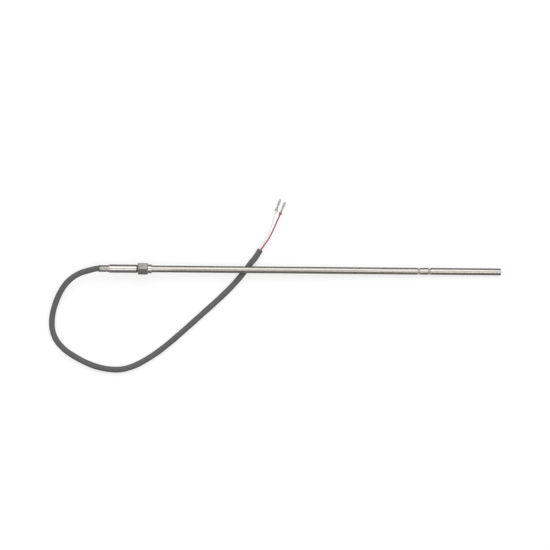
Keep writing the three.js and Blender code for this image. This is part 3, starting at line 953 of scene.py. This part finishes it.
@dataclass
class Studio:
    """The pale floor, the soft lights and the camera straight above."""

    aim: Vector = field(default_factory=lambda: Vector((-0.02322, -0.00467, 0)))
    frame_width: float = 0.5137
    camera_height: float = 5.0
    sensor: float = 36.0
    roll: float = math.radians(0.5)
    floor_size: float = 40.0
    floor_drop: float = 0.05 * MM
    floor_glow: float = 0.6
    floor_tone: float = 0.5
    backdrop: float = 0.95
    surround: float = 0.35
    mirrored: float = 0.19
    mirrored_ends: float = 0.55
    ends_from: float = 0.35
    ends_full: float = 0.75

    def build(self) -> None:
        """Makes the camera, floor, lights and world."""
        self.camera()
        self.floor()
        self.softbox("softbox_key", angle=34, distance=1.5, across=0.86, radiance=1.5)
        self.softbox("softbox_side", angle=58, distance=1.5, across=0.45, radiance=0.95)
        self.softbox("softbox_top", angle=4, distance=1.9, across=0.8, radiance=0.5)
        self.softbox("softbox_strip", angle=-24, distance=1.6, across=0.62, radiance=1.45)
        self.world()
        bpy.context.scene.view_settings.view_transform = "Standard"

    def camera(self) -> None:
        """Hangs a long-lens camera straight above the object."""
        data = bpy.data.cameras.new("camera")
        data.sensor_width = self.sensor
        data.lens = self.sensor * self.camera_height / self.frame_width
        data.clip_end = self.floor_size
        camera = bpy.data.objects.new("camera", data)
        camera.location = self.aim + Vector((0, 0, self.camera_height))
        camera.rotation_euler = (0, 0, self.roll)
        bpy.context.scene.collection.objects.link(camera)
        bpy.context.scene.camera = camera

    def floor(self) -> None:
        """Lays a plain pale floor that the metal doesn't mirror."""
        Bench.clear()
        bpy.ops.mesh.primitive_plane_add(size=self.floor_size, location=(0, 0, -self.floor_drop))
        floor = Bench.named("floor")
        surface = Surface("pale_floor")
        surface.feed(
            surface.shader,
            Base_Color=(self.floor_tone, self.floor_tone, self.floor_tone, 1),
            Roughness=0.9,
            Emission_Color=(1, 1, 1, 1),
            Emission_Strength=self.floor_glow,
        )
        dress(floor, surface.material)
        floor.visible_glossy = False

    def softbox(self, name: str, angle: float, distance: float, across: float, radiance: float) -> None:
        """Hangs a long soft light over the probe, turned to face it.

        Args:
            name: The light's name.
            angle: Degrees from straight up, towards +Y.
            distance: Metres from the probe.
            across: The light's width round the probe.
            radiance: The light's brightness.
        """
        length = 2.4
        data = bpy.data.lights.new(name, "AREA")
        data.shape = "RECTANGLE"
        data.size = length
        data.size_y = across
        data.energy = radiance * math.pi * length * across
        light = bpy.data.objects.new(name, data)
        turn = math.radians(angle)
        light.location = (0, distance * math.sin(turn), distance * math.cos(turn))
        light.rotation_euler = (-turn, 0, 0)
        light.visible_camera = False
        bpy.context.scene.collection.objects.link(light)

    def world(self) -> None:
        """Sets a pale backdrop and a surround for the metal to mirror, brighter past both ends."""
        world = bpy.data.worlds.new("studio")
        bpy.context.scene.world = world
        world.use_nodes = True
        tree = Tree(world.node_tree)
        background = world.node_tree.nodes["Background"]
        tree.feed(background, Color=(1, 1, 1, 1))
        ray = tree.add("ShaderNodeLightPath")
        seen = tree.math("MULTIPLY", ray.outputs["Is Camera Ray"], self.backdrop - self.surround)
        apart = tree.add("ShaderNodeSeparateXYZ")
        tree.feed(apart, Vector=tree.add("ShaderNodeTexCoord").outputs["Generated"])
        endwise = tree.math("ABSOLUTE", apart.outputs[0])
        bright = tree.spread(endwise, self.mirrored, self.mirrored_ends, self.ends_from, self.ends_full)
        change = tree.math("SUBTRACT", bright, self.surround)
        mirrored = tree.math("MULTIPLY", ray.outputs["Is Glossy Ray"], change)
        strength = tree.math("ADD", tree.math("ADD", seen, mirrored), self.surround)
        tree.feed(background, Strength=strength)


# ------------------------------------------------------------------ cable, leads and contacts

CABLE_ROUTE: tuple[Point, ...] = (
    (-0.1879, 0, 0.0118),
    (-0.1902, -0.0002, 0.0118),
    (-0.1932, -0.00095, 0.0118),
    (-0.196, -0.0017, 0.0117),
    (-0.1999, -0.0028, 0.0114),
    (-0.204, -0.0042, 0.011),
    (-0.211, -0.008, 0.0099),
    (-0.2179, -0.0142, 0.0084),
    (-0.2233, -0.0224, 0.0066),
    (-0.2274, -0.0317, 0.0049),
    (-0.2301, -0.0411, 0.0036),
    (-0.2311, -0.0504, 0.00295),
    (-0.2304, -0.0582, 0.00275),
    (-0.2268, -0.0672, 0.00275),
    (-0.2189, -0.076, 0.00275),
    (-0.2102, -0.082, 0.00275),
    (-0.1988, -0.088, 0.00275),
    (-0.1879, -0.092, 0.00275),
    (-0.1759, -0.0941, 0.00275),
    (-0.1653, -0.0939, 0.00275),
    (-0.1538, -0.0905, 0.00275),
    (-0.143, -0.0848, 0.00275),
    (-0.1316, -0.0772, 0.00275),
    (-0.1205, -0.0683, 0.00275),
    (-0.1094, -0.0585, 0.00275),
    (-0.0983, -0.0485, 0.00275),
    (-0.0873, -0.0384, 0.00275),
    (-0.076, -0.0281, 0.00275),
    (-0.0666, -0.0189, 0.00275),
    (-0.059, -0.0107, 0.00275),
    (-0.0524, -0.0026, 0.00275),
    (-0.0463, 0.0057, 0.00275),
    (-0.0412, 0.0121, 0.00275),
    (-0.0371, 0.0189, 0.00275),
)

RED_LEAD_ROUTE: tuple[Point, ...] = (
    (-0.03623, 0.01896, 0.0027),
    (-0.0348, 0.0211, 0.00265),
    (-0.0333, 0.0233, 0.0024),
    (-0.0318, 0.0255, 0.002),
    (-0.0304, 0.0276, 0.00155),
    (-0.0291, 0.0298, 0.00115),
    (-0.0279, 0.032, 0.00085),
    (-0.0268, 0.0341, 0.00072),
    (-0.0257, 0.0363, 0.0007),
    (-0.0248, 0.0385, 0.0007),
    (-0.0238, 0.0407, 0.0007),
    (-0.0229, 0.0428, 0.0007),
    (-0.022, 0.045, 0.0007),
    (-0.021, 0.0472, 0.00072),
    (-0.0201, 0.0493, 0.00085),
    (-0.0192, 0.05151, 0.001),
)

WHITE_LEAD_ROUTE: tuple[Point, ...] = (
    (-0.03746, 0.0197, 0.0027),
    (-0.036, 0.022, 0.00265),
    (-0.0347, 0.0243, 0.0024),
    (-0.0334, 0.0266, 0.002),
    (-0.0322, 0.0289, 0.00155),
    (-0.0311, 0.0312, 0.00115),
    (-0.03, 0.0335, 0.00085),
    (-0.029, 0.0358, 0.00072),
    (-0.028, 0.0381, 0.0007),
    (-0.0272, 0.0404, 0.0007),
    (-0.0264, 0.0427, 0.0007),
    (-0.0257, 0.0451, 0.0007),
    (-0.0251, 0.0474, 0.0007),
    (-0.0245, 0.0497, 0.00072),
    (-0.0238, 0.052, 0.00085),
    (-0.02309, 0.05427, 0.001),
)


@dataclass
class Cable:
    """The two-core cable: a jacket that shows the lay of its cores, cut square at the far end."""

    radius: float = 2.7 * MM
    wall: float = 0.75 * MM
    recess: float = 1.6 * MM
    tuck: float = 1.1 * MM
    squeeze: float = 0.12 * MM
    lay_length: float = 42 * MM
    lay_relief: float = 0.05 * MM
    ring_step: float = 1.6 * MM
    squeeze_run: float = 0.8 * MM
    first_ring: float = 2.0 * MM
    last_gap: float = 0.4 * MM
    rim_run: float = 0.1 * MM
    rim_drop: float = 0.04 * MM
    cut_drop: float = 0.14 * MM
    lay_in: float = 6.0 * MM
    lay_out: float = 2.0 * MM
    sides: int = 40

    def build(self) -> None:
        path = Path(centripetal(CABLE_ROUTE))
        length = path.length()
        rings = [(-self.tuck, self.radius - self.squeeze), (0.0, self.radius - self.squeeze)]
        rings.append((self.squeeze_run, self.radius - self.squeeze / 2))
        steps = int(length / self.ring_step)
        plain = length - self.first_ring - self.last_gap
        rings += [(self.first_ring + plain * i / steps, self.radius) for i in range(steps + 1)]
        rings += [
            (length - self.rim_run, self.radius - self.rim_drop),
            (length, self.radius - self.cut_drop),
            (length, self.radius - self.wall),
            (length - self.recess, self.radius - self.wall),
        ]

        def lay(run: float, angle: float) -> float:
            """The cores' lay, faded out at both ends."""
            begun = min(max(run / self.lay_in, 0.0), 1.0)
            ended = min(max((length - run) / self.lay_out, 0.0), 1.0)
            wave = math.cos(2 * angle - FULL_TURN * run / self.lay_length * 2)
            return begun * ended * self.lay_relief * wave

        jacket = swept("cable_jacket_skin", path, rings, self.sides, lay)
        dress(jacket, JACKET_SKIN.make())
        fit(jacket, Body.PROBE, ["cable_jacket"])
        LOG.info("cable length %.1f mm", length / MM)


@dataclass
class Contact:
    """A stamped crimp contact that lies on its floor strip, along +X from its crimp."""

    metal: float = 0.3 * MM
    length: float = 12.6 * MM
    strip_width: float = 1.3 * MM
    seat: float = 0.04 * MM
    inset: float = 0.06 * MM
    edge: float = 0.03 * MM
    sweep_steps: int = 28

    def barrel(self, name: str, start: float, end: float, radius: float, opening: float) -> MeshObject:
        """Rolls a strip of sheet round to a barrel that stays open at the top.

        Args:
            name: The barrel's name.
            start: Where it starts along the contact.
            end: Where it ends.
            radius: Its outer radius.
            opening: Half of the angle left open, in radians.

        Returns:
            The closed C-shaped solid.
        """
        Bench.clear()
        middle = ((start + end) / 2, radius - self.metal / 2, 0)
        scale = (end - start, self.metal, 1)
        bpy.ops.mesh.primitive_plane_add(size=1, location=middle)
        piece = Bench.named(name)
        piece.scale = scale
        bpy.ops.object.transform_apply(location=True, rotation=True, scale=True)
        bpy.ops.object.mode_set(mode="EDIT")
        bpy.ops.mesh.select_all(action="SELECT")
        sweep = FULL_TURN - 2 * opening
        bpy.ops.mesh.spin(steps=self.sweep_steps, angle=sweep, center=(0, 0, 0), axis=(1, 0, 0))
        Bench.close_skin()
        low, high = self.open_angles(piece)
        turn = math.pi / 2 - (low + high) / 2
        raised = Matrix.Translation((0, 0, radius + self.seat))
        return Bench.place(piece, raised @ Matrix.Rotation(turn, 4, "X"))

    @staticmethod
    def open_angles(piece: MeshObject) -> tuple[float, float]:
        """The two angles about the X axis that bound the widest gap in a barrel."""
        angles = sorted({round(math.atan2(v.co.z, v.co.y), 4) for v in piece.data.vertices})
        angles.append(angles[0] + FULL_TURN)
        return max(zip(angles, angles[1:]), key=lambda pair: pair[1] - pair[0])

    def build(self, name: str, at: Point, heading: tuple[float, float]) -> MeshObject:
        """Makes the contact and lays it on the surface.

        Args:
            name: The contact's name.
            at: Where its crimp begins.
            heading: The way that it points.

        Returns:
            The finished contact.
        """
        half = self.strip_width / 2
        contact = Bench.box(name, (0, -half, 0), (self.length, half, self.metal))
        barrels = [
            self.barrel("insulation_crimp", self.inset, 2.4 * MM, 1.45 * MM, 1.0),
            self.barrel("wire_crimp", 3 * MM, 5.2 * MM, 0.9 * MM, 0.3),
            self.barrel("socket", 6 * MM, self.length - self.inset, 1.02 * MM, 0.12),
        ]
        for barrel in barrels:
            Bench.combine(contact, barrel, "UNION")
        Bench.clean(contact)
        Bench.soften(contact, self.edge, 40)
        Bench.smooth(Bench.clean(contact), 40)
        angle = math.atan2(heading[1], heading[0])
        return Bench.place(contact, Matrix.Translation(at) @ Matrix.Rotation(angle, 4, "Z"))


@dataclass
class Lead:
    """One insulated core past the jacket, with its bare strands and crimp contact."""

    name: str
    route: tuple[Point, ...]
    finish: CordSkin
    slot: Slot
    contact_at: Point
    contact_heading: tuple[float, float]
    radius: float = 0.65 * MM
    tuck: float = 1.3 * MM
    reach: float = 2.0 * MM
    strand_radius: float = 0.13 * MM
    strand_end: float = 3.9 * MM
    strand_back: float = 0.2 * MM
    strand_count: int = 7
    strand_spacing: float = 2.1
    strand_sides: int = 10
    cut_drop: float = 0.06 * MM
    steps: int = 60
    sides: int = 20

    def build(self, tin: bpy.types.Material) -> None:
        """Args:
            tin: The contacts' material.
        """
        path = Path(centripetal(self.route, 8))
        length = path.length()
        end = length + self.reach
        rings = [(-self.tuck, self.radius)]
        rings += [(end * i / self.steps, self.radius) for i in range(self.steps)]
        rings += [(end, self.radius - self.cut_drop)]
        core = swept(f"lead_{self.name}_skin", path, rings, self.sides)
        dress(core, self.finish.make())
        fit(core, Body.PROBE, [f"lead_{self.name}"])

        strands = self.strands(path, length)
        dress(strands, tin)
        fit(strands, Body.PROBE)

        contact = Contact().build(f"contact_{self.name}", self.contact_at, self.contact_heading)
        dress(contact, tin)
        fit(contact, Body.PROBE, [f"terminal_{self.name}"])
        LOG.info("lead %s length %.1f mm", self.name, length / MM)

    def strands(self, path: Path, length: float) -> MeshObject:
        """Lays the bare strands from the insulation's end into the wire crimp."""
        point, tangent, normal = path.at(length)
        side = tangent.cross(normal)
        made: list[MeshObject] = []
        start, end = self.reach - self.strand_back, self.reach + self.strand_end
        for k in range(self.strand_count):
            out = 0.0 if k == 0 else self.strand_radius * self.strand_spacing
            turn = FULL_TURN * k / (self.strand_count - 1)
            offset = (normal * math.cos(turn) + side * math.sin(turn)) * out
            line = Path([point + offset, point + tangent * MM + offset])
            rings = [(start, self.strand_radius), (end, self.strand_radius)]
            made.append(swept(f"strand_{self.name}_{k}", line, rings, self.strand_sides))
        Bench.pick(*made)
        bpy.ops.object.join()
        return Bench.named(f"strands_{self.name}")


# ------------------------------------------------------------------ sheath and tip


@dataclass
class Sheath:
    """The drawn sheath tube with its rolled grooves, and the plug that closes its tip."""

    radius: float = 3.175 * MM
    wall: float = 0.5 * MM
    back: float = 24 * MM
    probe_length: float = 375.3 * MM
    tip_head: float = 3.6 * MM
    tip_round: float = 0.55 * MM
    seam: float = 0.1 * MM
    grooves: tuple[float, float] = (298.6 * MM, 308.4 * MM)
    groove_width: float = 2.8 * MM
    groove_depth: float = 0.75 * MM

    def build(self, axis: ProbeAxis, metal: bpy.types.Material) -> None:
        """Makes the tube and the plug.

        Args:
            axis: The probe's axis.
            metal: The drawn stainless finish.
        """
        for piece, node in ((self.tube(), "sheath_tube"), (self.plug(), "tip_plug")):
            Bench.place(Bench.smooth(piece), axis.matrix())
            dress(piece, metal)
            fit(piece, Body.PROBE, [node])

    def tube(self) -> MeshObject:
        """Turns the tube: its outside from back to front, then its bore back again."""
        front = self.probe_length - self.tip_head - 0.03 * MM
        bore_radius = self.radius - self.wall
        outer = [(self.back, self.radius)]
        bore = [(self.back, bore_radius)]
        for station in self.grooves:
            outer += rolled_groove(station, self.groove_width, self.groove_depth, self.radius)
            bore += rolled_groove(station, self.groove_width, self.groove_depth, bore_radius)
        outer += [(front - self.seam, self.radius), (front, self.radius - self.seam)]
        bore.append((front, bore_radius))
        return Bench.turned("sheath", [*outer, *reversed(bore), outer[0]])

    def plug(self) -> MeshObject:
        """Turns the tip plug with its rounded end and the seam where it meets the tube."""
        head = self.probe_length - self.tip_head
        spigot_back = head - 3.5 * MM
        spigot_radius = self.radius - self.wall - 0.075 * MM
        corner = (self.probe_length - self.tip_round, self.radius - self.tip_round)
        profile = [(spigot_back, 0), (spigot_back, spigot_radius), (head, spigot_radius)]
        profile += [(head, self.radius - self.seam), (head + self.seam, self.radius)]
        profile += quarter_round(corner, self.tip_round, 90)
        profile.append((self.probe_length, 0))
        return Bench.turned("tip_end_plug", profile)


# ------------------------------------------------------------------ transition sleeve


@dataclass
class Sleeve:
    """The transition sleeve: ring-rolled neck, polished barrel and threaded spigot."""

    neck_length: float = 9.6 * MM
    neck_radius: float = 3.32 * MM
    neck_bore: float = 2.75 * MM
    lip_run: float = 1.1 * MM
    lip_drop: float = 0.5 * MM
    lip_steps: int = 8
    flat_count: int = 8
    flat_inset: float = 0.985
    flat_corner: float = 1.05
    flat_fade: float = 0.6 * MM
    ring_count: int = 3
    ring_width: float = 1.9 * MM
    ring_depth: float = 0.28 * MM
    radius: float = 3.85 * MM
    bore: float = 3.25 * MM
    end: float = 35.4 * MM
    chamfer: float = 0.45 * MM
    spigot_radius: float = 3.72 * MM
    spigot_end: float = 42.8 * MM
    thread_pitch: float = 0.5 * MM
    thread_depth: float = 0.26 * MM
    rings_per_pitch: int = 8
    relief: float = 0.3 * MM
    crest_gain: float = 1.3
    crest_cut: float = 0.15
    skin: float = 0.02 * MM

    def build(self, axis: ProbeAxis, metal: bpy.types.Material) -> None:
        """Turns the sleeve, cuts its thread and lays it on the axis."""
        sleeve = Bench.turned("sleeve", self.profile())
        self.press_flats(sleeve)
        self.cut_thread(sleeve)
        Bench.place(Bench.smooth(sleeve, 38), axis.matrix())
        dress(sleeve, metal)
        fit(sleeve, Body.PROBE, ["transition_sleeve"])

    def profile(self) -> Profile:
        """The sleeve's outline from the neck's mouth to the spigot's end, and the bore back."""
        outer = self.lip()
        pitch = self.neck_length / (self.ring_count + 1)
        for i in range(1, self.ring_count + 1):
            outer += rolled_groove(i * pitch, self.ring_width, self.ring_depth, self.neck_radius, 10)
        shoulder = self.neck_length + self.chamfer
        outer += [
            (self.neck_length - self.flat_fade, self.neck_radius),
            (self.neck_length, self.neck_radius),
            (self.neck_length, self.radius - self.chamfer),
            (shoulder, self.radius),
            (self.end - self.chamfer / 2, self.radius),
            (self.end, self.radius - self.chamfer / 2),
            (self.end, self.spigot_radius - self.thread_depth),
            (self.thread_start(), self.spigot_radius - self.thread_depth),
        ]
        steps = round((self.spigot_end - self.thread_start()) / self.thread_pitch * self.rings_per_pitch)
        for i in range(1, steps + 1):
            share = i / steps
            station = self.thread_start() + (self.spigot_end - self.thread_start()) * share
            outer.append((station, self.spigot_radius - self.thread_depth))
        bore = [(self.spigot_end, self.bore), (shoulder, self.bore)]
        bore += [(shoulder, self.neck_bore), (0.0, self.neck_bore)]
        return [*outer, *bore, outer[0]]

    def lip(self) -> Profile:
        """The neck's mouth, rolled in towards the cable."""
        points = []
        for i in range(self.lip_steps + 1):
            turn = math.pi / 2 * i / self.lip_steps
            drop = self.lip_drop * (1 - math.sin(turn))
            points.append((self.lip_run * (1 - math.cos(turn)), self.neck_radius - drop))
        return points

    def thread_start(self) -> float:
        """Where the thread begins, past the relief behind the shoulder."""
        return self.end + self.relief

    def press_flats(self, sleeve: MeshObject) -> None:
        """Presses the crimping tool's flats into the neck, faded out at both of its ends."""
        facet = FULL_TURN / self.flat_count
        for vertex in sleeve.data.vertices:
            station, y, z = vertex.co
            reach = math.hypot(y, z)
            if not 0 < station < self.neck_length or reach < self.neck_bore + self.skin:
                continue
            off = (math.atan2(z, y) + facet / 2) % facet - facet / 2
            flat = min(self.flat_inset / math.cos(off), self.flat_corner)
            near = min(station, self.neck_length - station)
            scale = 1 + (flat - 1) * min(near / self.flat_fade, 1.0)
            vertex.co = (station, y * scale, z * scale)

    def cut_thread(self, sleeve: MeshObject) -> None:
        """Raises a right-hand thread on the spigot, run out at both ends."""
        root = self.spigot_radius - self.thread_depth
        for vertex in sleeve.data.vertices:
            station, y, z = vertex.co
            reach = math.hypot(y, z)
            if not self.thread_start() < station < self.spigot_end or reach < root - self.skin:
                continue
            phase = (station / self.thread_pitch - math.atan2(z, y) / FULL_TURN) % 1
            crest = 1 - abs(2 * phase - 1)
            height = min(max(crest * self.crest_gain - self.crest_cut, 0.0), 1.0)
            run_in = min((station - self.thread_start()) / self.thread_pitch, 1.0)
            run_out = min((self.spigot_end - station) / self.thread_pitch, 1.0)
            reach += self.thread_depth * height * run_in * run_out
            scale = reach / math.hypot(y, z)
            vertex.co = (station, y * scale, z * scale)


# ------------------------------------------------------------------ gland: nut and ferrule


@dataclass
class Gland:
    """The compression nut with its nose, and the ferrule inside it."""

    start: float = 36.4 * MM
    length: float = 9.5 * MM
    across_flats: float = 10.7 * MM
    chamfer: tuple[tuple[float, float], ...] = (
        (0.0, 1.55 * MM),
        (0.25 * MM, 1.2 * MM),
        (0.6 * MM, 0.82 * MM),
        (1.0 * MM, 0.45 * MM),
        (1.6 * MM, 0.0),
    )
    nose_length: float = 3.7 * MM
    nose_radius: float = 4.05 * MM
    nose_round: float = 0.7 * MM
    thread_bore: float = 3.85 * MM
    seat: float = 44.2 * MM
    seat_length: float = 1.4 * MM
    front_bore: float = 3.3 * MM
    ferrule_start: float = 43.1 * MM
    ferrule_length: float = 2.2 * MM
    ferrule_radius: float = 3.72 * MM
    ferrule_bore: float = 3.25 * MM
    ferrule_back_drop: float = 0.25 * MM
    ferrule_back_run: float = 0.5 * MM
    ferrule_front_run: float = 1.2 * MM
    ferrule_lip: float = 0.1 * MM
    edge_round: float = 0.22 * MM
    countersink: float = 0.4 * MM
    nose_countersink: float = 0.2 * MM

    def build(self, axis: ProbeAxis, plate: bpy.types.Material, brass: bpy.types.Material) -> None:
        """Makes the nut and the ferrule.

        Args:
            axis: The probe's axis.
            plate: The nut's finish.
            brass: The ferrule's finish.
        """
        nut = Bench.place(Bench.smooth(self.nut(), 25), axis.matrix())
        dress(nut, plate)
        fit(nut, Body.NUT, ["compression_nut"])
        ferrule = Bench.place(Bench.smooth(self.ferrule()), axis.matrix())
        dress(ferrule, brass)
        fit(ferrule, Body.FERRULE, ["ferrule"])

    def hexagon(self, corner: float) -> MeshObject:
        """The plain hexagon, corner up, with its long edges softened."""
        Bench.clear()
        middle = (self.start + self.length / 2, 0, 0)
        lying = (0, math.pi / 2, 0)
        bpy.ops.mesh.primitive_cylinder_add(
            vertices=6, radius=corner, depth=self.length, rotation=lying
        )
        piece = Bench.named("hexagon_nut")
        Bench.place(piece, piece.matrix_world.copy())
        highest = max(piece.data.vertices, key=lambda vertex: vertex.co.z).co
        turn = math.atan2(highest.y, highest.z)
        Bench.place(piece, Matrix.Translation(middle) @ Matrix.Rotation(turn, 4, "X"))
        bpy.ops.object.mode_set(mode="EDIT")
        bpy.ops.mesh.select_mode(type="EDGE")
        bpy.ops.mesh.select_all(action="DESELECT")
        bpy.ops.object.mode_set(mode="OBJECT")
        vertices = piece.data.vertices
        for edge in piece.data.edges:
            a, b = (vertices[index].co for index in edge.vertices)
            edge.select = abs(a.x - b.x) > self.length / 2
        bpy.ops.object.mode_set(mode="EDIT")
        bpy.ops.mesh.bevel(offset=self.edge_round, segments=3)
        bpy.ops.object.mode_set(mode="OBJECT")
        return piece

    def nut(self) -> MeshObject:
        """The nut: a hexagon with turned chamfers, a round nose and a stepped bore."""
        corner = self.across_flats / 2 / math.cos(math.pi / 6)
        end = self.start + self.length
        nose_end = end + self.nose_length
        past = MM
        sides = 128

        nut = self.hexagon(corner)
        back = [(self.start + run, corner - drop) for run, drop in self.chamfer]
        front = [(end - run, corner - drop) for run, drop in reversed(self.chamfer)]
        chamfer = [(self.start, 0), *back, *front, (end, 0)]
        Bench.combine(nut, Bench.turned("chamfer", chamfer, sides), "INTERSECT")

        tip = (nose_end - self.nose_round, self.nose_radius - self.nose_round)
        nose = [(end - past, 0), (end - past, self.nose_radius)]
        nose += [*quarter_round(tip, self.nose_round, 90), (nose_end, 0)]
        Bench.combine(nut, Bench.turned("nose", nose, sides), "UNION")

        bore = [(self.start - past, 0), (self.start - past, self.thread_bore + past)]
        bore += [(self.start + self.countersink, self.thread_bore), (self.seat, self.thread_bore)]
        bore.append((self.seat + self.seat_length, self.front_bore))
        bore.append((nose_end - self.nose_countersink, self.front_bore))
        bore += [(nose_end + past, self.front_bore + past), (nose_end + past, 0)]
        return Bench.clean(Bench.combine(nut, Bench.turned("bore", bore, sides), "DIFFERENCE"))

    def ferrule(self) -> MeshObject:
        """The double-cone ferrule."""
        end = self.ferrule_start + self.ferrule_length
        outer = [
            (self.ferrule_start, self.ferrule_radius - self.ferrule_back_drop),
            (self.ferrule_start + self.ferrule_back_run, self.ferrule_radius),
            (self.ferrule_start + self.ferrule_front_run, self.ferrule_radius),
            (end, self.ferrule_bore + self.ferrule_lip),
        ]
        bore = [(end, self.ferrule_bore), (self.ferrule_start, self.ferrule_bore)]
        return Bench.turned("gland_ring", [*outer, *bore, outer[0]])


# ------------------------------------------------------------------ what the sheath holds


@dataclass
class Inside:
    """The pieces inside the probe, which keep their CAD shape and get their finish here."""

    insulators: int = 8

    def build(self, axis: ProbeAxis, nodes: dict[str, MeshObject], plate: bpy.types.Material) -> None:
        """Gives every inner CAD node its material.

        Args:
            axis: The probe's axis.
            nodes: The CAD nodes by name.
            plate: The plated steel finish.
        """
        ceramic = CERAMIC.make(axis)
        shrink = SHRINK.make(axis)
        iron = IRON_WIRE.make(axis)
        constantan = CONSTANTAN_WIRE.make(axis)
        finishes = {f"insulator_{i + 1}": ceramic for i in range(self.insulators)}
        finishes |= {
            "locking_bush": plate,
            "junction_cement": CEMENT.make(axis),
            "hot_junction": constantan,
            "thermo_wire_iron": iron,
            "thermo_wire_constantan": constantan,
            "splice_barrel_iron": plate,
            "splice_barrel_constantan": plate,
            "splice_sleeve_iron": shrink,
            "splice_sleeve_constantan": shrink,
            "potting_plug": EPOXY.make(axis),
            "jacket_clamped_end": JACKET_INSIDE.make(axis),
            "inner_core_red": CORE_RED_INSIDE.make(axis),
            "inner_core_white": CORE_WHITE_INSIDE.make(axis),
        }
        for name, material in finishes.items():
            dress(nodes[name], material)
        LOG.info("dressed %d inner pieces", len(finishes))


# ------------------------------------------------------------------ the whole


def main() -> None:
    """Builds the studio and every sub-assembly round the frame."""
    logging.basicConfig(level=logging.INFO, format="%(message)s")
    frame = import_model()
    axis = ProbeAxis.from_record(frame["record"])

    Studio().build()

    tin = TIN_PLATE.make(axis)
    leads = (
        Lead("red", RED_LEAD_ROUTE, RED_SKIN, Slot.RED, (-0.01909, 0.05179, 0), (4.75, 11.9)),
        Lead("white", WHITE_LEAD_ROUTE, WHITE_SKIN, Slot.WHITE, (-0.02299, 0.05455, 0), (4.15, 11.71)),
    )
    for lead in leads:
        lead.build(tin)
    Cable().build()

    plate = NUT_PLATE.make(axis)
    Sheath().build(axis, STAINLESS_SHEATH.make(axis))
    Sleeve().build(axis, STAINLESS_POLISHED.make(axis))
    Gland().build(axis, plate, FERRULE_BRASS.make(axis))
    Inside().build(axis, frame["nodes"], plate)


if __name__ == "__main__":
    main()
